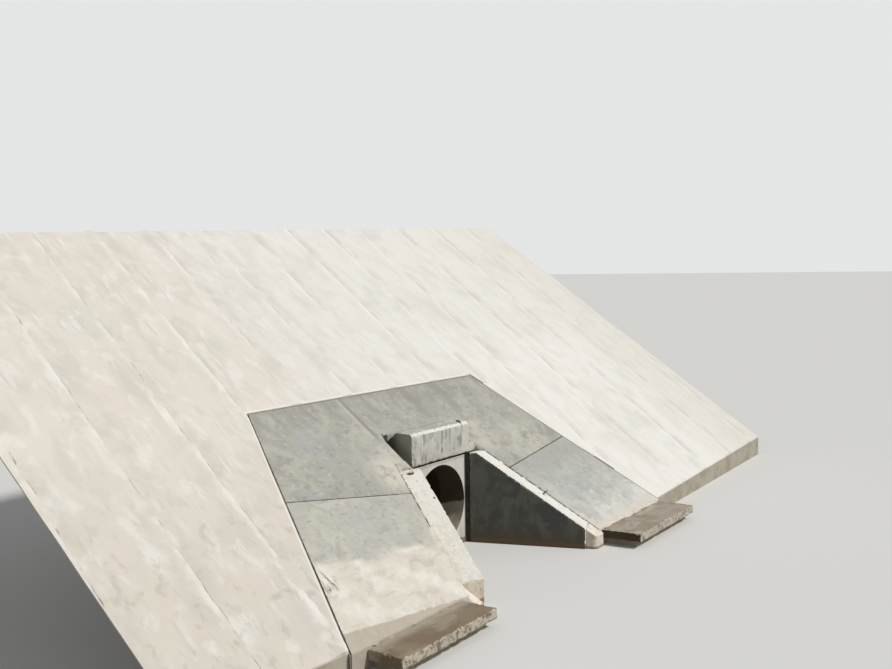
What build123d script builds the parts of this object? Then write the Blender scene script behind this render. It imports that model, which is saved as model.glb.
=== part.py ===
from build123d import *
import os
from math import cos, radians, sin, tan

# Round-pipe culvert headwall set in a lined embankment slope. Millimetres and degrees.
# Origin: foot of the portal wall's front face, on its centre line, at ground level.
# +X runs to the right along the portal, +Y into the embankment, +Z up.

# Slope face: the plane that the slabs, wing tops and lining lie flush with.
SLOPE_ANGLE = 35.35
FACE_OVER_BEAM_SEAT = 102   # the slope face passes this far over the beam's underside

FIT = 0.3              # clearance between pieces that bear on each other

# Pipe
BORE = 1000
PIPE_WALL = 80
RING_LENGTH = 1000
RING_COUNT = 3
RING_ARRIS = 15        # bevel on the rings' outer ends

# Portal wall and the parapet beam that is bedded on it
PORTAL_PAST_WING = 60  # the portal wall runs this far past the wing walls' outer faces
PORTAL_THICK = 378
PORTAL_COVER = 45      # concrete over the pipe mouth
BEDDING_THICK = 32
BEDDING_RECESS = 30
BEAM_LENGTH = 1147
BEAM_SHIFT = 21        # the beam's middle lies this far right of the pipe's
BEAM_HEIGHT = 394
BEAM_NOSE = 14         # how far the beam stands forward of the portal wall
BEAM_CHAMFER = 33
BEAM_BEVEL_RUN = 155
BEAM_BEVEL_DROP = 120

# Wing walls, set off from the portal wall by a mortar joint
THROAT_LEFT = 492      # from the pipe's axis to the wing wall's inner corner at the portal
THROAT_RIGHT = 524
WING_SPLAY_LEFT = 24
WING_SPLAY_RIGHT = 22
WING_THICK_LEFT = 330
WING_THICK_RIGHT = 190
NOSE_HEIGHT_LEFT = 259      # height of the wing wall's front end, at its inner corner
NOSE_HEIGHT_RIGHT = 254
NOSE_SKEW_LEFT = 15    # the nose's face is turned this far from square, towards the portal's line
NOSE_SKEW_RIGHT = 3
WING_ARRIS = 8
WING_JOINT = 50
WING_JOINT_RECESS = 10
FILL_POCKET = 150      # open pocket under the front edge of the fill on the left wing wall's top
FILL_POCKET_DEPTH = 60
FILL_POCKET_ACROSS = 200

# Cast slope slabs round the wing walls
SLAB_THICK = 150
PANEL_TOP = 967        # plan distance of the panel's top edge behind the portal's front face
PANEL_LEFT = 2203
PANEL_RIGHT = 2022
PANEL_SPLAY_LEFT = 23.5
PANEL_SPLAY_RIGHT = 24.7
FOOT_PAST_NOSE = 69    # the panel's foot lies this far in front of the right wing wall's nose
JOINT_WIDTH = 20       # filled joint round the panel
JOINT_DEPTH = 100
JOINT_RECESS = 6
CROSS_JOINT_WIDTH = 15
CROSS_JOINT_TILT_LEFT = 9.9
CROSS_JOINT_TILT_RIGHT = 6
CROSS_JOINT_LEFT = 358   # plan distance in front of the portal where the joint meets the wing wall
CROSS_JOINT_RIGHT = 428
NOTCH_WIDTH = 122      # open notch beside the beam's left end, drawn in over a length at its back
NOTCH_BACK_WIDTH = 75
NOTCH_DRAWN_IN = 103
EDGE_GAP = 7           # open groove between the slabs and the walls and beam they meet
EDGE_GAP_DEPTH = 40

# Toe slabs and the concrete lumps that close the wing walls' front ends
TOE_DEPTH_LEFT = 398
TOE_DEPTH_RIGHT = 495
TOE_THICK = 110
TOE_STEP = 10          # the toe slabs lie this far below the foot of the lower slabs
TOE_START_LEFT = 497   # from the wing wall's nose, sideways, to the toe slab's inner end
TOE_START_RIGHT = 295
TOE_SHORT_LEFT = 220   # the toe slab stops this far short of the panel's corner
TOE_SHORT_RIGHT = 10
TOE_SKEW_LEFT = -3
TOE_SKEW_RIGHT = 8
TOE_BED_INSET = 80     # the bed under a toe slab stands this far back from its edges
HAUNCH_COVER_LEFT = 310     # how much of the wing wall's nose the lump covers
HAUNCH_COVER_RIGHT = 166
HAUNCH_SINK_LEFT = 15       # how far the lump's top lies below the slope face, at its outer side
HAUNCH_SINK_RIGHT = 6
HAUNCH_FALL_LEFT = 27       # sideways fall of its top, towards the channel
HAUNCH_FALL_RIGHT = 3
HAUNCH_PAST_FOOT_LEFT = 0   # how far the lump runs out past the panel's foot
HAUNCH_PAST_FOOT_RIGHT = 45
HAUNCH_ROUND_LEFT = 40
HAUNCH_ROUND_RIGHT = 75

# Cut-off lifting bars left in the right wing wall's top: a straight one and a bent one
BAR = 12
BAR_SINK = 60
STRAIGHT_BAR_ALONG = 112    # along the wall from the portal
STRAIGHT_BAR_ACROSS = 176   # across the wall from its inner face
STRAIGHT_BAR_RISE = 50
BENT_BAR_ALONG = 995
BENT_BAR_ACROSS = 105
BENT_BAR_RISE = 34
BENT_BAR_REACH = 80
BENT_BAR_BEND = 18          # radius of the bend, at the bar's middle

# Mat lining of the slope, laid up the slope from left to right in two widths
MAT_THICK = 13
MAT_LAP = 100
MAT_RAMP = 120         # length over which a mat climbs onto the next one's edge
MAT_STEP = 2
NARROW_PITCH = 870
NARROW_COUNT = 9
WIDE_PITCH = 1150
WIDE_COUNT = 4
MAT_SKEW = 2.5
MAT_PIVOT = 1500       # distance up the slope face at which the pitches are measured
LINING_LEFT = 4930
LAST_MAT_FOOT = 484    # width of the last mat at the lining's foot, where the others' pitches end
LINING_RIGHT_LEAN = 384   # the lining's right edge comes in by this much from foot to crest
LINING_CREST = 3992    # plan distance of the top edge behind the portal, on the centre line
CREST_TILT = 2.8
LINING_PAST_PANEL = 31    # the lining's foot starts this far behind the panel's foot
FOOT_TILT = 1.7
KERB_WIDTH = 150

# Sizes that follow from those above
BORE_HEIGHT = PIPE_WALL + BORE / 2
PORTAL_HEIGHT = PIPE_WALL + BORE + PORTAL_COVER
BEAM_SEAT = PORTAL_HEIGHT + BEDDING_THICK
FACE_LEVEL = BEAM_SEAT + FACE_OVER_BEAM_SEAT   # height of the slope face over the portal's front face
FALL = tan(radians(SLOPE_ANGLE))
PANEL_FOOT = (FACE_LEVEL - NOSE_HEIGHT_RIGHT) / FALL + FOOT_PAST_NOSE
TOE_TOP = FACE_LEVEL - PANEL_FOOT * FALL - TOE_STEP
LINING_FOOT = PANEL_FOOT - LINING_PAST_PANEL
MAT_COUNT = NARROW_COUNT + WIDE_COUNT + 1
LINING_RIGHT_FOOT = NARROW_COUNT * NARROW_PITCH + WIDE_COUNT * WIDE_PITCH + LAST_MAT_FOOT - LINING_LEFT
LINING_RIGHT_TOP = LINING_RIGHT_FOOT - LINING_RIGHT_LEAN
REACH = 30000          # larger than the whole work, for cutting prisms
LEVEL = Vector(1, 0)
BEHIND = (Align.CENTER, Align.MIN, Align.CENTER)
BEFORE = (Align.CENTER, Align.MAX, Align.CENTER)


def tag(side):
    return "right" if side > 0 else "left"


def pick(side, left, right):
    return right if side > 0 else left


def bearing(splay):
    """Plan direction that runs forward and turns this far to the right."""
    return Vector(sin(radians(splay)), -cos(radians(splay)))


def meet(p, along_p, q, along_q):
    """Plan point where the line through p meets the line through q."""
    across = along_p.X * along_q.Y - along_p.Y * along_q.X
    gap = q - p
    return p + along_p * ((gap.X * along_q.Y - gap.Y * along_q.X) / across)


def plan_face(points):
    return make_face(Polyline(*[(v.X, v.Y) for v in points], close=True))


def prism(points, height=REACH, base=0.0):
    """Upright prism over a plan outline."""
    return extrude(Pos(0, 0, base) * plan_face(points), amount=height)


def face_point(p):
    """The point of the slope face over a plan point."""
    return Vector(p.X, p.Y, FACE_LEVEL + p.Y * FALL)


def on_slope(shape):
    """Carries a shape from level ground onto the slope face."""
    return Pos(0, 0, FACE_LEVEL) * Rot(SLOPE_ANGLE, 0, 0) * shape


def layer(lift, thick):
    """Everything between two faces parallel to the slope, the upper one lifted by lift."""
    slice_box = Box(REACH, REACH, thick, align=(Align.CENTER, Align.CENTER, Align.MAX))
    return on_slope(Pos(0, 0, lift) * slice_box)


def portal_wall():
    left, right = (abs(wing_plan(side)[3].X) + PORTAL_PAST_WING for side in (-1, 1))
    wall = Box(left + right, PORTAL_THICK, PORTAL_HEIGHT, align=(Align.MIN, Align.MIN, Align.MIN))
    mouth = Pos(0, 0, BORE_HEIGHT) * Rot(-90, 0, 0) * Cylinder(BORE / 2, PORTAL_THICK * 3)
    return Pos(-left, 0, 0) * wall - mouth


def pipe_ring(number):
    start = PORTAL_THICK + FIT + (number - 1) * (RING_LENGTH + FIT)
    ring = Cylinder(BORE / 2 + PIPE_WALL, RING_LENGTH) - Cylinder(BORE / 2, RING_LENGTH)
    rims = ring.edges().filter_by(GeomType.CIRCLE).sort_by(SortBy.RADIUS)[-2:]
    return Pos(0, start + RING_LENGTH / 2, BORE_HEIGHT) * Rot(-90, 0, 0) * chamfer(rims, RING_ARRIS)


def beam_section(grow=0.0):
    """The beam's outline seen from its end, in plan depth and height."""
    front, back = -BEAM_NOSE - grow, PORTAL_THICK + grow
    low, top = BEAM_SEAT + FIT - grow, BEAM_SEAT + FIT + BEAM_HEIGHT + grow
    return [(front, low), (back, low), (back, top - BEAM_BEVEL_DROP), (back - BEAM_BEVEL_RUN, top),
            (front + BEAM_CHAMFER, top), (front, top - BEAM_CHAMFER)]


def parapet_beam(grow=0.0):
    outline = make_face(Polyline(*[(0, y, z) for y, z in beam_section(grow)], close=True))
    half = BEAM_LENGTH / 2 + grow
    return extrude(Pos(BEAM_SHIFT - half, 0, 0) * outline, amount=2 * half, dir=(1, 0, 0))


def beam_bedding():
    """Mortar bed between the portal wall and the beam, kept back from their faces."""
    bed = Box(BEAM_LENGTH - 2 * BEDDING_RECESS, PORTAL_THICK - BEDDING_RECESS, BEDDING_THICK - FIT,
              align=(Align.CENTER, Align.MIN, Align.MIN))
    return Pos(BEAM_SHIFT, BEDDING_RECESS, PORTAL_HEIGHT + FIT) * bed


def wing_line(side):
    """A wing wall's inner corner at the portal, the way it runs and the way across it, in plan."""
    splay = pick(side, WING_SPLAY_LEFT, WING_SPLAY_RIGHT)
    corner = Vector(side * pick(side, THROAT_LEFT, THROAT_RIGHT), 0)
    return corner, bearing(side * splay), Vector(side * cos(radians(splay)), sin(radians(splay)))


def wing_plan(side, inner=0.0, outer=0.0, back=0.0, past=0.0):
    """A wing wall in plan: inner back, inner front, outer front and outer back corner.

    Its inner face is moved in, its outer face out, its back forward and its nose forward.
    """
    corner, along, across = wing_line(side)
    near = corner + across * inner
    far = corner + across * (pick(side, WING_THICK_LEFT, WING_THICK_RIGHT) + outer)
    behind = Vector(0, -back)
    splay = pick(side, WING_SPLAY_LEFT, WING_SPLAY_RIGHT)
    square_off = radians(splay - pick(side, NOSE_SKEW_LEFT, NOSE_SKEW_RIGHT))
    nose_way = Vector(side * cos(square_off), sin(square_off))
    fall = FACE_LEVEL - pick(side, NOSE_HEIGHT_LEFT, NOSE_HEIGHT_RIGHT)
    nose = corner + along * (fall / FALL / cos(radians(splay)) + past)
    return [meet(near, along, behind, LEVEL), meet(near, along, nose, nose_way),
            meet(far, along, nose, nose_way), meet(far, along, behind, LEVEL)]


def wing_block(side, grow=0.0):
    corners = wing_plan(side, outer=grow, back=WING_JOINT - grow, past=grow)
    return prism(corners, BEAM_SEAT) & layer(0, REACH)


def wing_wall(side):
    corner = wing_plan(side, back=WING_JOINT)[0]
    wall = wing_block(side)
    joint_edge = wall.edges().filter_by(Axis.Z).sort_by_distance((corner.X, corner.Y, BORE_HEIGHT))[0]
    wall = chamfer(joint_edge, WING_ARRIS)
    return wall - bar_hole(BENT_BAR_ALONG, BENT_BAR_ACROSS) if side > 0 else wall


def wing_joint(side):
    """Mortar between the portal wall and a wing wall, struck back from the wing wall's inner face."""
    strip = prism(wing_plan(side, inner=WING_JOINT_RECESS, outer=-FIT, back=FIT), BEAM_SEAT)
    strip &= layer(0, REACH)
    strip &= Pos(0, FIT - WING_JOINT, 0) * Box(REACH, REACH, REACH, align=BEHIND)
    return strip - bar_hole(STRAIGHT_BAR_ALONG, STRAIGHT_BAR_ACROSS) if side > 0 else strip


def wing_fill():
    """Mortar that carries the slope face over the left wing wall's level top, outside the notch."""
    fill = prism(wing_plan(-1, back=FIT), REACH, BEAM_SEAT + FIT) & layer(0, REACH)
    outside = Box(REACH, REACH, REACH, align=(Align.MAX, Align.CENTER, Align.CENTER))
    fill &= Pos(notch_front().X, 0, 0) * outside
    corner, along, across = wing_line(-1)
    lip = meet(corner + across * FILL_POCKET_ACROSS, along, Vector(0, -FACE_OVER_BEAM_SEAT / FALL), LEVEL)
    pocket = Pos(lip.X, lip.Y, BEAM_SEAT) * Box(FILL_POCKET, 2 * FILL_POCKET_DEPTH, FACE_OVER_BEAM_SEAT)
    return fill - pocket


def notch_front():
    """Plan point where the notch beside the beam meets the portal's front face."""
    return Vector(BEAM_SHIFT - BEAM_LENGTH / 2 - NOTCH_WIDTH, 0)


def bar_root(along_wall, across_wall):
    """Foot of a bar's hole in the right wing wall's top."""
    corner, along, across = wing_line(1)
    spot = corner + along * along_wall + across * across_wall
    return Vector(spot.X, spot.Y, min(BEAM_SEAT, face_point(spot).Z) - BAR_SINK)


def bar_hole(along_wall, across_wall):
    align = (Align.CENTER, Align.CENTER, Align.MIN)
    return Pos(*bar_root(along_wall, across_wall)) * Cylinder(BAR / 2 + FIT, BAR_SINK + BAR, align=align)


def straight_bar():
    root = bar_root(STRAIGHT_BAR_ALONG, STRAIGHT_BAR_ACROSS) + Vector(0, 0, FIT)
    length = BAR_SINK + STRAIGHT_BAR_RISE
    return Pos(*root) * Cylinder(BAR / 2, length, align=(Align.CENTER, Align.CENTER, Align.MIN))


def bent_bar():
    """Bar that rises from the wall's top and is bent over outwards."""
    root = bar_root(BENT_BAR_ALONG, BENT_BAR_ACROSS) + Vector(0, 0, FIT)
    bend = root + Vector(0, 0, BAR_SINK + BENT_BAR_RISE)
    path = FilletPolyline(root, bend, bend + LEVEL * BENT_BAR_REACH, radius=BENT_BAR_BEND)
    return sweep(Plane(origin=root, z_dir=(0, 0, 1)) * Circle(BAR / 2), path=path)


def panel_edge(side, inset=0.0):
    """Point and direction of the panel's side edge in plan."""
    splay = pick(side, PANEL_SPLAY_LEFT, PANEL_SPLAY_RIGHT)
    reach = pick(side, PANEL_LEFT, PANEL_RIGHT)
    shift = inset / cos(radians(splay))
    return Vector(side * (reach - shift), PANEL_TOP), bearing(side * splay)


def panel_corners(inset=0.0):
    """The panel's outline in plan, drawn in from its top and sides."""
    top = Vector(0, PANEL_TOP - inset)
    foot = Vector(0, -PANEL_FOOT)
    ends = []
    for side in (-1, 1):
        edge, along = panel_edge(side, inset)
        ends.append((meet(edge, along, top, LEVEL), meet(edge, along, foot, LEVEL)))
    (top_left, foot_left), (top_right, foot_right) = ends
    return [top_left, top_right, foot_right, foot_left]


def cross_joint(side):
    """Point and direction of the joint between the upper and a lower slab."""
    tilt = pick(side, CROSS_JOINT_TILT_LEFT, CROSS_JOINT_TILT_RIGHT)
    reach = pick(side, CROSS_JOINT_LEFT, CROSS_JOINT_RIGHT)
    start = meet(wing_plan(side)[3], wing_line(side)[1], Vector(0, -reach), LEVEL)
    return start, Vector(side * cos(radians(tilt)), sin(radians(tilt)))


def below_joint(side, drop):
    """Prism over the plan in front of a cross joint, its edge moved forward by drop."""
    start, along = cross_joint(side)
    forward = Vector(side * along.Y, -side * along.X)
    near = start + forward * drop - along * PANEL_TOP
    far = near + along * REACH
    return prism([near, far, far + forward * REACH, near + forward * REACH])


def throat_plan():
    """Plan outline that the slabs leave open: wing walls, portal front, beam and notch."""
    right, left = wing_plan(1), wing_plan(-1)
    back = Vector(0, PORTAL_THICK + FIT)
    beam_right = Vector(BEAM_SHIFT + BEAM_LENGTH / 2 + FIT, 0)
    notch = notch_front()
    notch_back = notch + back + LEVEL * (NOTCH_WIDTH - NOTCH_BACK_WIDTH)
    return [right[2] + wing_line(1)[1] * REACH, right[2], right[3], beam_right, beam_right + back,
            notch_back, notch + back - Vector(0, NOTCH_DRAWN_IN), notch,
            left[3], left[2], left[2] + wing_line(-1)[1] * REACH]


def slab_body():
    """The cast panel in one piece, before its cross joints are cut."""
    body = prism(panel_corners(JOINT_WIDTH)) & layer(0, SLAB_THICK)
    body -= prism(throat_plan(), 2 * REACH, -REACH)
    body -= parapet_beam(FIT)
    body -= parapet_beam(EDGE_GAP) & layer(0, EDGE_GAP_DEPTH)
    body -= Pos(0, 0, FIT) * portal_wall()
    for side in (-1, 1):
        body -= wing_block(side, FIT)
        groove = wing_plan(side, outer=EDGE_GAP, past=EDGE_GAP)
        body -= prism(groove) & layer(0, EDGE_GAP_DEPTH)
    return body


def slope_slabs():
    body = slab_body()
    upper = body
    lower = {}
    for side in (-1, 1):
        lower[side] = body & below_joint(side, CROSS_JOINT_WIDTH)
        upper -= below_joint(side, 0)
    return upper, lower


def cross_filler(side):
    """Filler between the upper and a lower slab."""
    strip = below_joint(side, FIT) - below_joint(side, CROSS_JOINT_WIDTH - FIT)
    strip &= prism(panel_corners(JOINT_WIDTH + FIT)) & layer(-JOINT_RECESS, JOINT_DEPTH)
    strip -= prism(throat_plan(), 2 * REACH, -REACH)
    strip -= wing_block(side, FIT)
    foot, crest = Vector(0, -REACH), Vector(0, REACH)
    out = LEVEL * side * REACH
    return strip & prism([foot, foot + out, crest + out, crest])


def edge_fillers():
    """Filled joint between the panel and the lining, in a top length and two side lengths."""
    frame = prism(panel_corners(FIT)) - prism(panel_corners(JOINT_WIDTH - FIT))
    frame &= layer(-JOINT_RECESS, JOINT_DEPTH)
    corner = PANEL_TOP - JOINT_WIDTH + FIT
    behind = Pos(0, corner, 0) * Box(REACH, REACH, REACH, align=BEHIND)
    before = Pos(0, corner - FIT, 0) * Box(REACH, REACH, REACH, align=BEFORE)
    sides = (frame & before).solids().sort_by(Axis.X)
    return {"top": frame & behind, "left": sides[0], "right": sides[-1]}


def toe_plan(side, inset=0.0):
    """Plan of the low slab in front of a lower slab, its inner end askew, drawn in on three sides."""
    back = Vector(0, -PANEL_FOOT - FIT)
    front = Vector(0, -PANEL_FOOT - pick(side, TOE_DEPTH_LEFT, TOE_DEPTH_RIGHT) + inset)
    start = pick(side, TOE_START_LEFT, TOE_START_RIGHT) + inset
    inner = Vector(wing_plan(side)[1].X + side * start, back.Y)
    skew = bearing(side * pick(side, TOE_SKEW_LEFT, TOE_SKEW_RIGHT))
    short = pick(side, TOE_SHORT_LEFT, TOE_SHORT_RIGHT) + inset
    outer = meet(*panel_edge(side), back, LEVEL) - LEVEL * side * short
    return [inner, meet(inner, skew, front, LEVEL), Vector(outer.X, front.Y), outer]


def toe_slab(side):
    return prism(toe_plan(side), TOE_THICK, TOE_TOP - TOE_THICK)


def toe_bed(side):
    """Lean concrete that carries a toe slab, kept back from its edges."""
    return prism(toe_plan(side, TOE_BED_INSET), TOE_TOP - TOE_THICK - FIT)


def wing_haunch(side):
    """Lump of concrete that covers a wing wall's nose in part and runs out to the slab's foot."""
    along = wing_line(side)[1]
    bare = pick(side, WING_THICK_LEFT - HAUNCH_COVER_LEFT, WING_THICK_RIGHT - HAUNCH_COVER_RIGHT)
    inner, outer = wing_plan(side, inner=bare, outer=-FIT, past=FIT)[1:3]
    foot = Vector(0, -PANEL_FOOT - pick(side, HAUNCH_PAST_FOOT_LEFT, HAUNCH_PAST_FOOT_RIGHT))
    front = meet(inner, along, foot, LEVEL)
    plan = plan_face([inner, outer, meet(outer, along, foot, LEVEL), front])
    rounded = plan.vertices().sort_by_distance((front.X, front.Y, 0))[0]
    plan = fillet(rounded, pick(side, HAUNCH_ROUND_LEFT, HAUNCH_ROUND_RIGHT))
    sideways = radians(pick(side, HAUNCH_FALL_LEFT, HAUNCH_FALL_RIGHT))
    normal = Vector(0, -sin(radians(SLOPE_ANGLE)), cos(radians(SLOPE_ANGLE)))
    run = (face_point(outer) - face_point(outer - along)).normalized()
    sink = pick(side, HAUNCH_SINK_LEFT, HAUNCH_SINK_RIGHT)
    top = Plane(origin=face_point(outer) - normal * sink, x_dir=run,
                z_dir=normal * cos(sideways) - normal.cross(run) * side * sin(sideways))
    under_top = top * Box(REACH, REACH, REACH, align=(Align.CENTER, Align.CENTER, Align.MAX))
    return extrude(plan, amount=REACH) & under_top


def lining_right():
    """The lining's right edge in plan."""
    top = Vector(LINING_RIGHT_TOP, LINING_CREST)
    return top, (Vector(LINING_RIGHT_FOOT, -LINING_FOOT) - top).normalized()


def lining_left():
    return Vector(-LINING_LEFT, 0), Vector(0, 1)


def lining_outline():
    """The lining's outline in plan."""
    crest = Vector(0, LINING_CREST), Vector(cos(radians(CREST_TILT)), sin(radians(CREST_TILT)))
    left, right = lining_left(), lining_right()
    return [meet(*left, *crest), meet(*right, *crest), meet(*right, *foot_line(1)), foot_line(1)[0],
            foot_line(-1)[0], meet(*left, *foot_line(-1))]


def foot_line(side):
    """Point and direction of the lining's foot on one side of the panel."""
    edge, along = panel_edge(side)
    start = meet(edge, along, Vector(0, -LINING_FOOT), LEVEL)
    return start, Vector(side * cos(radians(FOOT_TILT)), sin(radians(FOOT_TILT)))


def mat_section(left, right, lapped):
    """A mat's cross-section: it lies flat, then climbs onto the edge of the next mat."""
    top, low = MAT_THICK, 0
    if not lapped:
        return [(left, low), (right, low), (right, top), (left, top)]
    rise = top + FIT
    heel = right - FIT
    return [(left, low), (heel, low), (heel, rise), (right + MAT_LAP, rise), (right + MAT_LAP, rise + top),
            (heel - MAT_STEP, rise + top), (heel - MAT_RAMP, top), (left, top)]


def mat_seams():
    """Where one mat ends and the next begins, from left to right, both outer ends past the lining."""
    seams = [-LINING_LEFT - NARROW_PITCH]
    for number in range(1, MAT_COUNT):
        wide = max(0, number - NARROW_COUNT)
        seams.append(-LINING_LEFT + (number - wide) * NARROW_PITCH + wide * WIDE_PITCH)
    return seams + [LINING_RIGHT_FOOT + WIDE_PITCH]


def lining_mats():
    """The mats from left to right, cut to the lining's outline and round the panel."""
    region = prism(lining_outline(), REACH, -REACH / 2) - prism(panel_corners(), REACH, -REACH / 2)
    seams = mat_seams()
    mats = []
    for number in range(MAT_COUNT):
        section = mat_section(seams[number], seams[number + 1], number < MAT_COUNT - 1)
        outline = make_face(Polyline(*[(x, 0, z - MAT_THICK) for x, z in section], close=True))
        strip = extrude(outline, amount=REACH / 2, dir=(0, 1, 0), both=True)
        mats.append(on_slope(Pos(0, MAT_PIVOT, 0) * Rot(0, 0, -MAT_SKEW) * strip) & region)
    return mats


def toe_kerb(side):
    """Buried kerb that carries the lining's foot."""
    edge = panel_edge(side, -FIT)
    start, run = foot_line(side)
    far = lining_right() if side > 0 else lining_left()
    back = start + Vector(0, KERB_WIDTH)
    plan = [meet(start, run, *edge), meet(start, run, *far), meet(back, run, *far), meet(back, run, *edge)]
    return prism(plan) & layer(-MAT_THICK - FIT, REACH)


def write(name, shape):
    export_step(shape, f"parts/{name}.step")


os.makedirs("parts", exist_ok=True)

write("portal_wall", portal_wall())
write("parapet_beam", parapet_beam())
write("beam_bedding", beam_bedding())
write("left_wing_fill", wing_fill())
write("straight_lifting_bar", straight_bar())
write("bent_lifting_bar", bent_bar())
for ring_number in range(1, RING_COUNT + 1):
    write(f"pipe_ring_{ring_number}", pipe_ring(ring_number))

upper_slab, lower_slabs = slope_slabs()
write("upper_slope_slab", upper_slab)
for hand in (-1, 1):
    write(f"{tag(hand)}_wing_wall", wing_wall(hand))
    write(f"{tag(hand)}_wing_joint", wing_joint(hand))
    write(f"{tag(hand)}_lower_slab", lower_slabs[hand])
    write(f"{tag(hand)}_cross_joint", cross_filler(hand))
    write(f"{tag(hand)}_toe_slab", toe_slab(hand))
    write(f"{tag(hand)}_toe_bed", toe_bed(hand))
    write(f"{tag(hand)}_wing_haunch", wing_haunch(hand))
    write(f"{tag(hand)}_toe_kerb", toe_kerb(hand))

for place, filler in edge_fillers().items():
    write(f"{place}_edge_joint", filler)

for mat_number, mat in enumerate(lining_mats(), start=1):
    write(f"lining_mat_{mat_number:02d}", mat)
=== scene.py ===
import math

import bmesh
import bpy
from mathutils import Matrix, Vector, noise


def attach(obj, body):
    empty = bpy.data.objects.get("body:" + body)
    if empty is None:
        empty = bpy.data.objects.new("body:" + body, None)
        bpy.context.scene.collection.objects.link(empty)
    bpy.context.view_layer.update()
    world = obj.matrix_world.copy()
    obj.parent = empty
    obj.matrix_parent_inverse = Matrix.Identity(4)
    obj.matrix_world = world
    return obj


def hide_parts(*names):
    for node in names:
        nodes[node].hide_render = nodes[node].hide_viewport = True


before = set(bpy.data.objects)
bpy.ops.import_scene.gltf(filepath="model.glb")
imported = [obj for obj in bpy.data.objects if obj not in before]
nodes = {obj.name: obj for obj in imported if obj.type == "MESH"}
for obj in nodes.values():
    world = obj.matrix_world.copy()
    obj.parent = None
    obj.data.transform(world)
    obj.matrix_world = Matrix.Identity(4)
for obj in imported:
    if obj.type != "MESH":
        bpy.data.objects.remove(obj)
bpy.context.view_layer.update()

# Plan places and slopes of the headwall, in metres and radians
SLOPE = math.radians(35.35)
FALL = math.tan(SLOPE)
FACE_LEVEL = 1.259          # height of the slope face over the portal's front
UP_SLOPE = Vector((0.0, math.cos(SLOPE), math.sin(SLOPE)))
SLOPE_OUT = Vector((0.0, -math.sin(SLOPE), math.cos(SLOPE)))
PANEL_FOOT = -1.4858        # plan line of the slabs' foot
PANEL_TOP = 0.967
PANEL_SIDES = ((-2.203, math.radians(23.5)), (2.022, math.radians(24.7)))   # each side's reach and splay
TOE_TOP = 0.195
WINGS = {                   # each wing wall's way from the axis, throat, splay and thickness
    "left": (-1, 0.492, math.radians(24), 0.330),
    "right": (1, 0.524, math.radians(22), 0.190),
}
BEAM_FRONT = -0.014
BEAM_TOP = 1.55
BORE_HEIGHT = 0.58
MAT_COUNT = 14
MAT_SKEW = math.radians(2.5)
MAT_PIVOT = 1.5             # distance up the slope at which the mats' pitches are measured
MAT_RUNS = ((-4.83, 0.87), (3.0, 1.15))   # a lap's edge and the pitch, for the narrow and the wide mats
LINING_LEFT = -4.93
LINING_RIGHT = 7.88         # the right edge's reach over the portal's front
LINING_RIGHT_LEAN = 0.0705  # how far it comes in for each metre of plan depth behind that

# Strips of mortar spread by hand
MORTAR_COLUMNS = 15         # points across a strip
MORTAR_ROW = 0.011          # distance of the points along it
MORTAR_TAPER = 0.08         # length over which its ends run out
MORTAR_SINK = 0.006         # how far it is sunk in what carries it
TOE_STEP_RUN = 0.05         # plan distance in which it falls from the slabs' foot to the toe slabs

# Ways in which a face can look
FORWARD = (0, -1, 0)
LEFTWARD = (-1, 0, 0)
RIGHTWARD = (1, 0, 0)
UPWARD = (0, 0, 1)

# Colours that several finishes share, as they are seen, 0 to 255
EARTH = (128, 108, 86)
DUST = (186, 176, 160)

CAMERA_PLACE = (-8.891, -6.731, 3.482)
CAMERA_TURN = (53.377, -4.065, -0.813)    # yaw, pitch and roll in degrees
CAMERA_LENS = 37.219
TOWARDS_SUN = Vector((0.22, -0.63, 0.745))
FLOOR_REACH = 400.0


# Camera, light and floor

def add_object(name, data):
    made = bpy.data.objects.new(name, data)
    bpy.context.collection.objects.link(made)
    return made


def place_camera():
    """Camera at the viewpoint of the photograph, its axes from yaw, pitch and roll."""
    yaw, pitch, roll = (math.radians(turn) for turn in CAMERA_TURN)
    ahead = Vector((math.sin(yaw) * math.cos(pitch), math.cos(yaw) * math.cos(pitch), math.sin(pitch)))
    level = Vector((math.cos(yaw), -math.sin(yaw), 0.0))
    above = level.cross(ahead)
    right = level * math.cos(roll) + above * math.sin(roll)
    up = above * math.cos(roll) - level * math.sin(roll)
    data = bpy.data.cameras.new("photo_camera")
    data.sensor_width = 36.0
    data.lens = CAMERA_LENS
    camera = add_object("photo_camera", data)
    turned = Matrix((right, up, -ahead)).transposed().to_4x4()
    camera.matrix_world = Matrix.Translation(CAMERA_PLACE) @ turned
    bpy.context.scene.camera = camera


def place_sun():
    data = bpy.data.lights.new("soft_key", "SUN")
    data.energy = 2.35
    data.angle = math.radians(7)
    data.color = (1.0, 0.985, 0.96)
    key = add_object("soft_key", data)
    key.rotation_euler = TOWARDS_SUN.to_track_quat("Z", "Y").to_euler()


def lit_and_seen(tree, shader, output, lit, seen):
    """One shader for the light that the object gets, and one for what the camera sees."""
    tree.nodes.clear()
    out = tree.nodes.new(output)
    mix = tree.nodes.new("ShaderNodeMixShader")
    tree.links.new(camera_ray(tree), mix.inputs[0])
    shaders = []
    for tint, socket in zip((lit, seen), mix.inputs[1:]):
        shaders.append(tree.nodes.new(shader))
        shaders[-1].inputs["Color"].default_value = (*tint, 1.0)
        tree.links.new(shaders[-1].outputs[0], socket)
    tree.links.new(mix.outputs[0], out.inputs[0])
    return shaders


def camera_ray(tree):
    """1 for what the camera sees directly or in a reflection."""
    path = tree.nodes.new("ShaderNodeLightPath")
    either = tree.nodes.new("ShaderNodeMath")
    either.operation = "MAXIMUM"
    tree.links.new(path.outputs["Is Camera Ray"], either.inputs[0])
    tree.links.new(path.outputs["Is Glossy Ray"], either.inputs[1])
    return either.outputs[0]


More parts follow.
